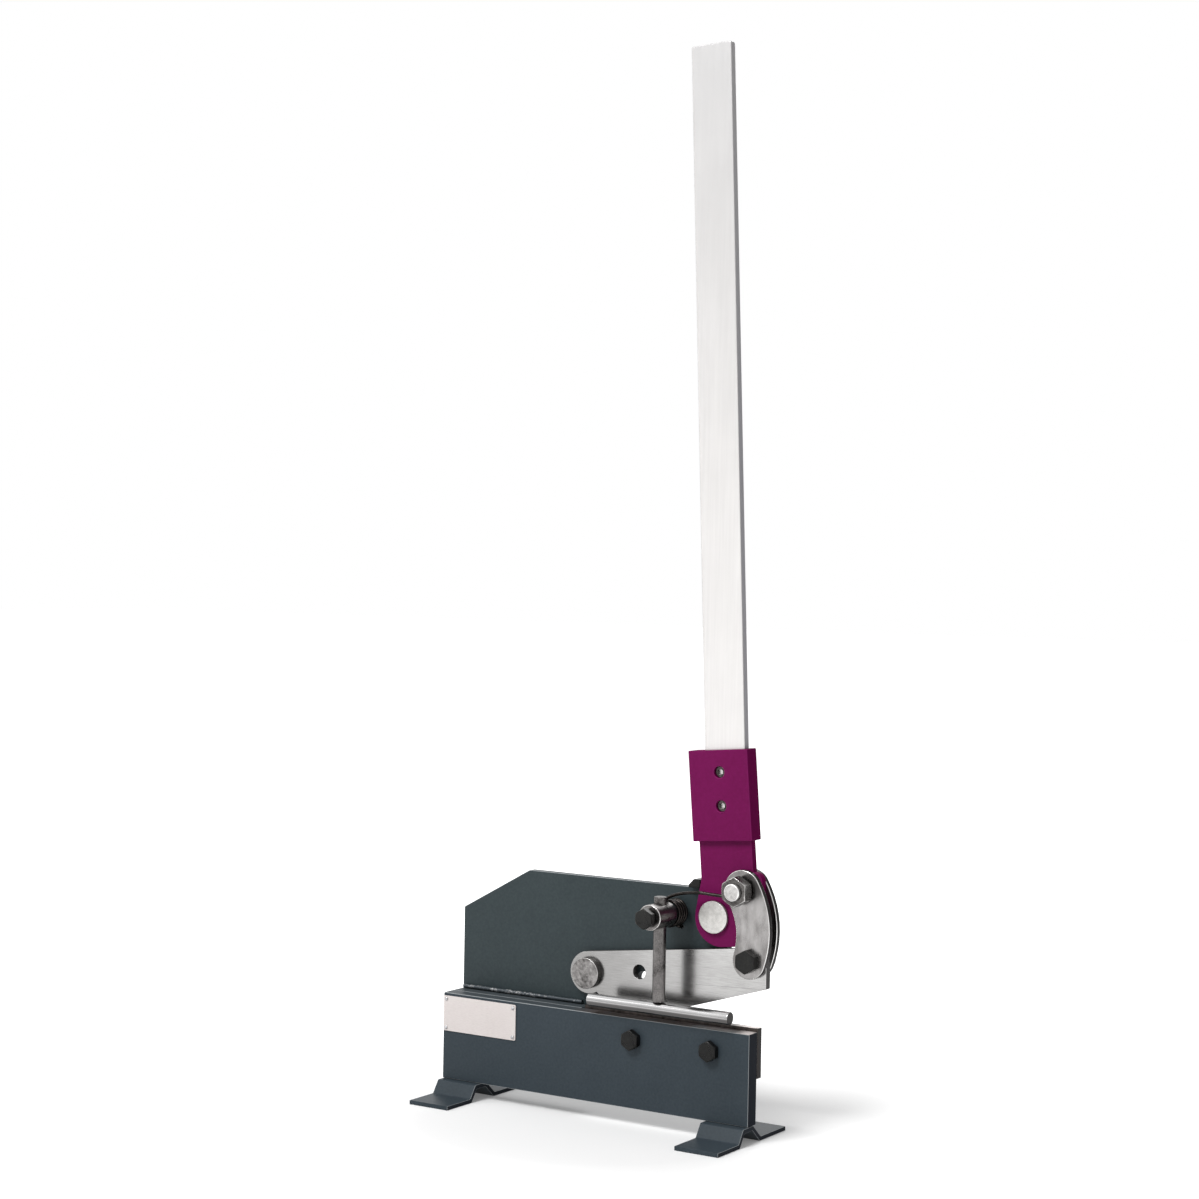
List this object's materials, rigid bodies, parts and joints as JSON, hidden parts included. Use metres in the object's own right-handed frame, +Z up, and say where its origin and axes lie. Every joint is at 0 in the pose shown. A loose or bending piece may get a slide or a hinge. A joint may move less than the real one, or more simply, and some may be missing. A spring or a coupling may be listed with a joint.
{
  "type": "bench lever shear",
  "caption": "Bench lever shear: base on foot straps, fixed lower and hinged upper blade, link pair, tall flat lever in a socket, and a rod-clamped hold-down bar.",
  "frame": {"origin": "on the bench under the middle of the whole machine's box", "axes": "+Z up, +X along the blades from the blade pivot to the lever, +Y from the front with the name plate to the back"},
  "size_m": [0.3494, 0.125, 0.9983],
  "materials": {
    "blue_grey_paint": "satin hammered paint",
    "purple_paint": "satin paint",
    "ground_steel": "ground",
    "handle_steel": "drawn, light zinc",
    "turned_steel": "turned",
    "black_steel": "black oxide",
    "zinc_steel": "zinc plated",
    "spring_steel": "oiled wire",
    "weld_metal": "rough weld",
    "plate_metal": "satin"
  },
  "bodies": {
    "base": {"base_front_plate": "blue_grey_paint", "base_spacer": "blue_grey_paint", "back_plate": "blue_grey_paint", "foot_strap_left": "blue_grey_paint", "foot_strap_right": "blue_grey_paint", "weld_bead": "weld_metal", "lever_stop": "black_steel", "name_plate": "plate_metal", "rivet_1": "zinc_steel", "rivet_2": "zinc_steel", "rivet_3": "zinc_steel", "rivet_4": "zinc_steel", "lower_blade": "ground_steel", "lower_blade_bolt_left": "black_steel", "lower_blade_bolt_right": "black_steel", "blade_pivot_pin": "turned_steel", "blade_pivot_nut": "zinc_steel", "lever_pivot_pin": "turned_steel", "lever_pivot_washer": "zinc_steel", "lever_pivot_nut": "zinc_steel", "hold_down_post": "turned_steel", "hold_down_nut": "zinc_steel", "return_spring": "spring_steel"},
    "blade": {"upper_blade": "ground_steel"},
    "lever": {"lever_plate": "purple_paint", "lever_socket": "purple_paint", "handle_bar": "handle_steel", "set_screw_1": "black_steel", "set_screw_2": "black_steel", "upper_link_bolt": "zinc_steel", "upper_link_nut": "zinc_steel"},
    "links": {"link_front": "ground_steel", "link_rear": "ground_steel", "lower_link_bolt": "black_steel", "lower_link_washer": "zinc_steel", "lower_link_nut": "zinc_steel"},
    "hold_down": {"hold_down_rod": "zinc_steel", "hold_down_bar": "turned_steel"},
    "clamp": {"clamp_screw": "black_steel"}
  },
  "joints": [
    {"name": "lever_pull", "type": "hinge", "parent": "base", "child": "lever", "pos_m": [0.11382, 0.0178, 0.1982], "axis": [0, 1, 0], "range_deg": [0, 50], "stiffness_Nm_per_rad": 9, "springref_deg": -14.32, "deforming": ["return_spring"]},
    {"name": "blade_cut", "type": "hinge", "parent": "base", "child": "blade", "pos_m": [-0.02288, 0.0178, 0.1324], "axis": [0, 1, 0], "range_deg": [0, 11.1]},
    {"name": "link_swing", "type": "hinge", "parent": "lever", "child": "links", "pos_m": [0.14562, 0.0178, 0.226], "axis": [0, 1, 0], "range_deg": [-41.6, 0]},
    {"name": "hold_down_slide", "type": "slide", "parent": "base", "child": "hold_down", "axis": [0, 0, 1], "range_m": [-0.003, 0.045]},
    {"name": "clamp_turn", "type": "hinge", "parent": "base", "child": "clamp", "pos_m": [0.07182, -0.0395, 0.1987], "axis": [0, -1, 0], "range_deg": [0, 360]}
  ],
  "couplings": [
    {"joint": "blade_cut", "follows": "lever_pull", "ratio": 0.2204},
    {"joint": "link_swing", "follows": "lever_pull", "ratio": -0.8292}
  ]
}
